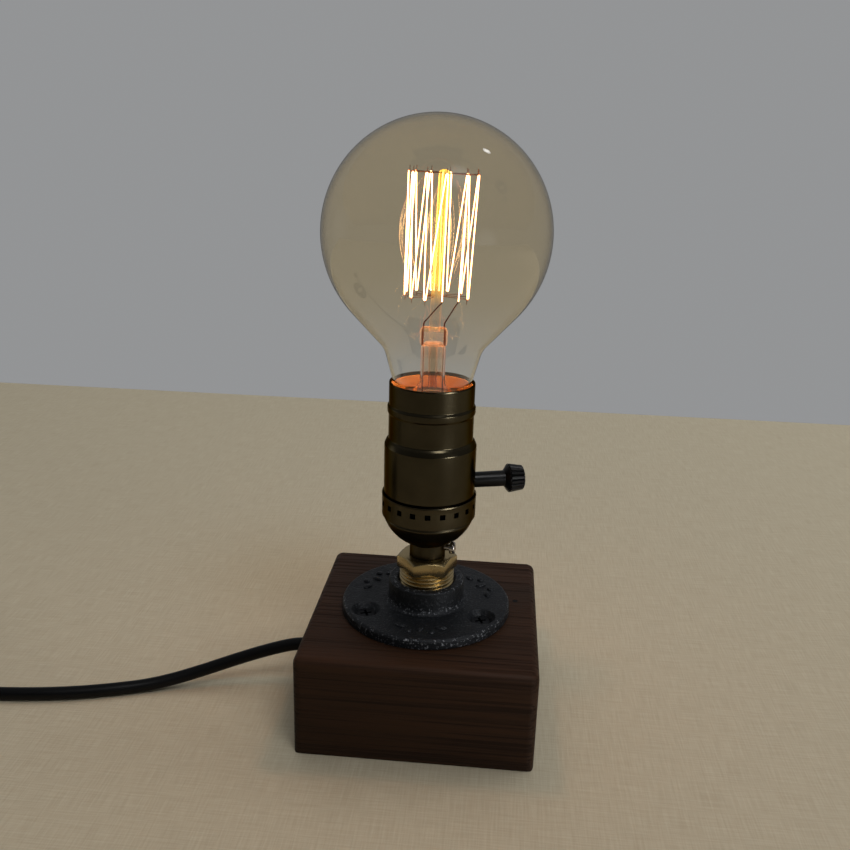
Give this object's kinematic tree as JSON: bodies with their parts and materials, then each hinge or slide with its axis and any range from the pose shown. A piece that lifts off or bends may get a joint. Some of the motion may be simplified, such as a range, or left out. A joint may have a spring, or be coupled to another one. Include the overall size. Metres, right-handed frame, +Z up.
{
  "type": "table lamp",
  "caption": "Table lamp with a square block base, a pipe-flange foot, a metal lampholder with a side rotary switch, and a bare globe bulb with a cage filament.",
  "frame": {"origin": "middle of the block's underside, on the lamp's upright axis", "axes": "+Z up, -Y towards the viewer, the flex leaves the block towards -X"},
  "size_m": [0.4828, 0.1062, 0.2655],
  "materials": {
    "stained_wood": "dark walnut stain, satin",
    "cast_iron": "blackened, as cast",
    "black_steel": "blackened",
    "brass": "aged",
    "zinc_steel": "zinc plated",
    "antique_bronze": "dark antique",
    "fibre": "plain",
    "phenolic": "moulded",
    "bright_brass": "plain",
    "steel": "plain",
    "nylon": "plain",
    "knob_black": "moulded",
    "flex_black": "satin",
    "plug_black": "satin",
    "pin_metal": "nickel plated",
    "core_insulation": "plain",
    "amber_glass": "clear, faint amber",
    "clear_glass": "clear",
    "base_metal": "plain",
    "black_glass": "opaque vitrite",
    "solder": "plain",
    "filament_wire": "glowing",
    "support_wire": "plain"
  },
  "bodies": {
    "root": {"wood_block": "stained_wood", "floor_flange": "cast_iron", "flange_screws": "black_steel", "hex_bushing": "brass", "threaded_nipple": "zinc_steel", "socket_cap": "antique_bronze", "cap_set_screw": "black_steel", "socket_shell": "antique_bronze", "insulating_liner": "fibre", "switch_base": "phenolic", "socket_body": "phenolic", "screw_shell": "bright_brass", "centre_contact": "bright_brass", "shell_rivets": "bright_brass", "terminal_screws": "bright_brass", "switch_blade": "bright_brass", "inner_flex": "flex_black", "flex_tie": "nylon", "switch_cores": "core_insulation", "cord": "flex_black", "cord_coil": "flex_black", "cord_tail": "flex_black", "plug_body": "plug_black", "plug_pins": "pin_metal"},
    "knob": {"switch_spindle": "steel", "switch_cam": "nylon", "knob": "knob_black"},
    "bulb_lift": {"bulb_base_contact": "solder"},
    "bulb": {"bulb_glass": "amber_glass", "bulb_base_shell": "base_metal", "bulb_base_insulator": "black_glass", "stem_glass": "clear_glass", "glass_rod": "clear_glass", "upper_supports": "support_wire", "lower_supports": "support_wire", "filament": "filament_wire", "lead_wires": "steel"}
  },
  "joints": [
    {"name": "knob_turn", "type": "hinge", "parent": "root", "child": "knob", "pos_m": [0, 0, 0.1086], "axis": [0.9563, 0.2924, 0], "continuous": true},
    {"name": "bulb_rise", "type": "slide", "parent": "root", "child": "bulb_lift", "axis": [0, 0, 1], "range_m": [0, 0.0255]},
    {"name": "bulb_spin", "type": "hinge", "parent": "bulb_lift", "child": "bulb", "pos_m": [0, 0, 0.13], "axis": [0, 0, 1], "range_deg": [0, 2520]}
  ],
  "couplings": [
    {"joint": "bulb_rise", "follows": "bulb_spin", "m_per_rad": 0.00057757}
  ]
}
